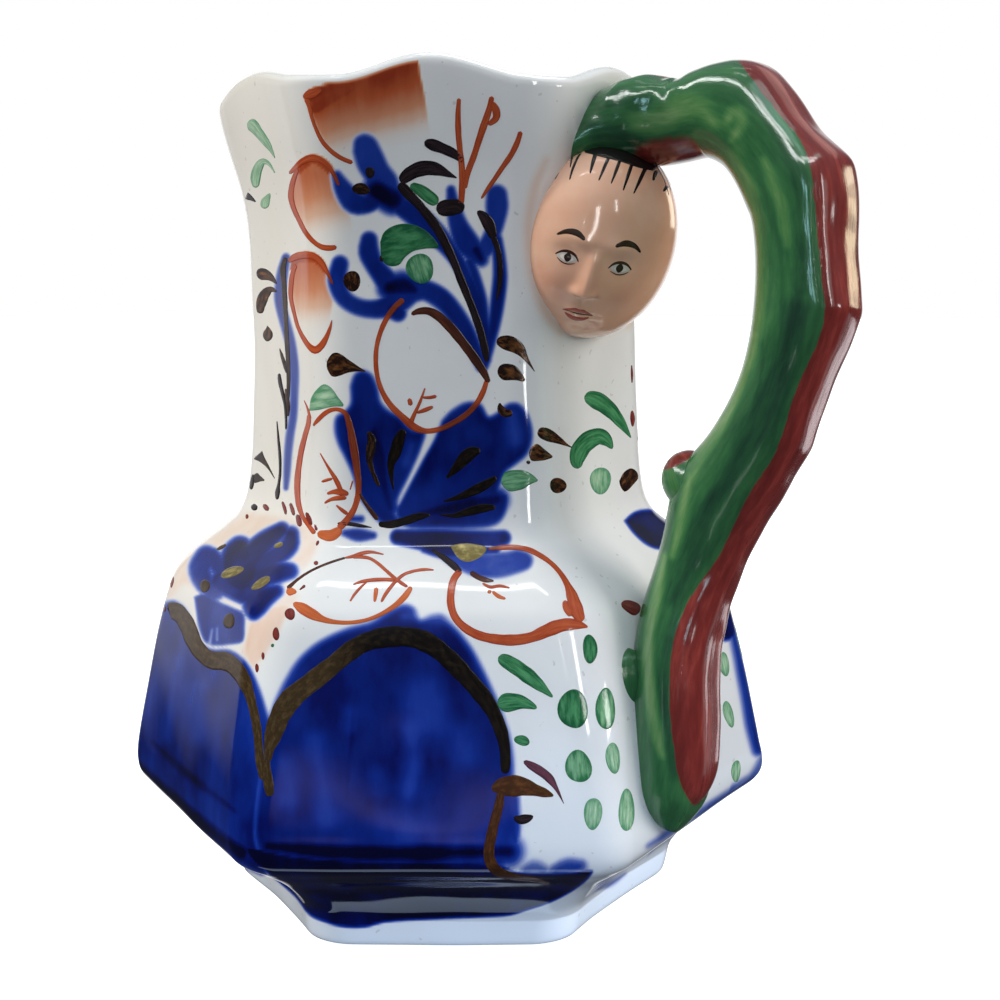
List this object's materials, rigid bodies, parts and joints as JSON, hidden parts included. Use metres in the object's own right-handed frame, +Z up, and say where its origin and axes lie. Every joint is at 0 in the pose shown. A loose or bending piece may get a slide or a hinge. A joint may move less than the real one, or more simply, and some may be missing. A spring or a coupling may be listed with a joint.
{
  "type": "ironstone pitcher",
  "caption": "Small panelled ironstone jug with a scalloped rim, pouring lip, knobbly loop handle over a moulded head mask, and hand-painted blue, red and green sprays.",
  "frame": {"origin": "centre of the jug's box on the plane it stands on", "axes": "+Z up, +X towards the handle, -X towards the pouring lip"},
  "size_m": [0.1238, 0.1116, 0.139],
  "materials": {
    "white_glaze": "clear glossy lead glaze over a white body",
    "foot_glaze": "clear glossy glaze, cobalt band brushed round the undercut",
    "painted_belly": "underglaze cobalt panels under glossy glaze, copper lustre and iron red lines over it",
    "painted_neck": "white glossy glaze with underglaze cobalt and overglaze enamel sprays",
    "handle_enamel": "translucent green enamel with a maroon back, glossy",
    "mask_enamel": "thin flesh-coloured enamel, glossy"
  },
  "bodies": {
    "root": {"foot_ring": "foot_glaze", "floor_bat": "white_glaze", "belly": "painted_belly", "neck": "painted_neck", "handle_loop": "handle_enamel", "handle_bud": "handle_enamel", "handle_tail_pad": "handle_enamel", "head_mask": "mask_enamel"}
  },
  "joints": []
}
